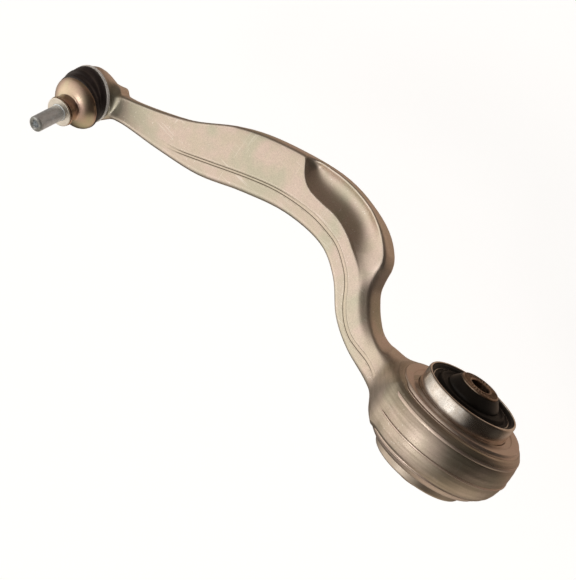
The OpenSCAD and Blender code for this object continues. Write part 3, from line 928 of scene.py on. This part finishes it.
def stud(p):
    """Ball, neck and shank, with a hexagon socket that has a bevelled mouth."""
    across = np.max([np.abs(p[:, 0] * math.cos(a) + p[:, 1] * math.sin(a))
                     for a in (math.pi / 6, math.pi / 2, math.pi * 5 / 6)], axis=0)
    out = np.hypot(p[:, 0], p[:, 1])
    socket = np.maximum(across - HEX_R, STUD_TIP - HEX_DEPTH - p[:, 2])
    mouth = (out - MOUTH_R - (p[:, 2] - STUD_TIP)) * BEVEL
    return np.maximum(stud_body(p), -np.minimum(socket, mouth))


ball_stud = sculpted("ball_stud_steel", stud, (-14, -14, -13), (14, 14, 67), 2 * SMALL_STEP,
                     ON_STUD, 1)
place(ball_stud, STUD, "stud", "stud_steel", "ball_stud")

# ---------------------------------------------------------------- camera, light and floor

CAMERA_AT = Vector((-0.32796, -0.33338, 0.93409))
CAMERA_RIGHT = Vector((-0.6392, -0.5555, -0.5318)).normalized()
CAMERA_BACK = Vector((-0.4355, -0.3085, 0.8457)).normalized()
CAMERA_UP = CAMERA_BACK.cross(CAMERA_RIGHT).normalized()
SENSOR = 36.0
LENS = 99.3
KEY_FROM, KEY_AT = (0.0, 0.38, 0.92), (0.15, -0.02, 0)
KEY_DISTANCE, KEY_WIDTH, KEY_HEIGHT, KEY_POWER = 1.5, 0.4, 0.55, 1.7
BACKDROP = (0.96, 0.96, 0.96, 1)
FLOOR_HALF, FLOOR_GREY, FLOOR_ROUGHNESS, FLOOR_GLOW = 6000.0, 0.5, 0.9, 0.72

# The studio as reflections see it: each lobe is a direction, the cosines of the angles at which
# it starts and is full, and its colour
ROOM_BASE = (0.022, 0.017, 0.013)
ROOM_LOBES = [((0.35, 0.45, 0.82), 0.36, 0.99, (1.04, 0.98, 0.905)),
              ((0.93, 0.33, 0.15), 0.60, 1.0, (0.50, 0.46, 0.41)),
              ((-0.45, 0.84, -0.30), 0.66, 0.97, (0.66, 0.56, 0.45)),
              ((0.05, -0.36, -0.93), 0.42, 0.92, (0.42, 0.30, 0.22)),
              ((0.30, -0.90, 0.30), 0.3, 1.0, (0.12, 0.09, 0.07))]


def add_camera():
    camera = bpy.data.cameras.new("camera")
    camera.lens = LENS
    camera.sensor_width = SENSOR
    obj = bpy.data.objects.new("camera", camera)
    turn = Matrix((CAMERA_RIGHT, CAMERA_UP, CAMERA_BACK)).transposed().to_4x4()
    obj.matrix_world = Matrix.Translation(CAMERA_AT) @ turn
    bpy.context.scene.collection.objects.link(obj)
    bpy.context.scene.camera = obj


def add_softbox(name, towards, middle, distance, width, height, power):
    """A rectangular light that shines at a point from that direction."""
    light = bpy.data.lights.new(name, "AREA")
    light.shape = "RECTANGLE"
    light.size = width
    light.size_y = height
    light.energy = power
    obj = bpy.data.objects.new(name, light)
    direction = Vector(towards).normalized()
    obj.location = Vector(middle) + direction * distance
    obj.rotation_euler = direction.to_track_quat("Z", "Y").to_euler()
    bpy.context.scene.collection.objects.link(obj)


def add_world():
    """A pale backdrop for the camera, and a warm studio room for light and reflections."""
    world = bpy.data.worlds.new("studio")
    bpy.context.scene.world = world
    world.use_nodes = True
    tree = world.node_tree
    tree.nodes.clear()
    where = add(tree, "ShaderNodeTexCoord")
    glow = add(tree, "ShaderNodeRGB")
    glow.outputs[0].default_value = (*ROOM_BASE, 1)
    total = glow.outputs[0]
    for towards, start, full, colour in ROOM_LOBES:
        axis = add(tree, "ShaderNodeVectorMath", operation="DOT_PRODUCT")
        axis.inputs[1].default_value = unit(towards)
        tree.links.new(where.outputs["Generated"], axis.inputs[0])
        lobe = add(tree, "ShaderNodeMapRange", From_Min=start, From_Max=full)
        lobe.interpolation_type = "SMOOTHSTEP"
        linked(tree, lobe, Value=axis.outputs["Value"])
        tint = add(tree, "ShaderNodeVectorMath", operation="SCALE")
        tint.inputs[0].default_value = colour
        linked(tree, tint, Scale=lobe.outputs["Result"])
        both = add(tree, "ShaderNodeVectorMath", operation="ADD")
        tree.links.new(total, both.inputs[0])
        tree.links.new(tint.outputs[0], both.inputs[1])
        total = both.outputs[0]
    room = add(tree, "ShaderNodeBackground")
    pale = add(tree, "ShaderNodeBackground", Color=BACKDROP)
    path = add(tree, "ShaderNodeLightPath")
    mix = add(tree, "ShaderNodeMixShader")
    out = add(tree, "ShaderNodeOutputWorld")
    links = tree.links
    links.new(total, room.inputs["Color"])
    links.new(path.outputs["Is Camera Ray"], mix.inputs["Fac"])
    links.new(room.outputs[0], mix.inputs[1])
    links.new(pale.outputs[0], mix.inputs[2])
    links.new(mix.outputs[0], out.inputs["Surface"])


def add_floor():
    """A wide pale floor that glows a little, so that it stays near white."""
    half = FLOOR_HALF
    corners = [(-half, -half, 0), (half, -half, 0), (half, half, 0), (-half, half, 0)]
    floor = new_object("floor", corners, [(0, 1, 2, 3)])
    floor.location.z = FLOOR_Z
    mat, _, bsdf = node_material("floor")
    bsdf.inputs["Base Color"].default_value = (FLOOR_GREY, FLOOR_GREY, FLOOR_GREY, 1)
    bsdf.inputs["Roughness"].default_value = FLOOR_ROUGHNESS
    bsdf.inputs["Emission Color"].default_value = (1, 1, 1, 1)
    bsdf.inputs["Emission Strength"].default_value = FLOOR_GLOW
    floor.data.materials.append(mat)
    floor.visible_glossy = False


bpy.context.scene.view_settings.view_transform = "Standard"
add_camera()
add_world()
add_softbox("key", KEY_FROM, KEY_AT, KEY_DISTANCE, KEY_WIDTH, KEY_HEIGHT, KEY_POWER)
add_floor()
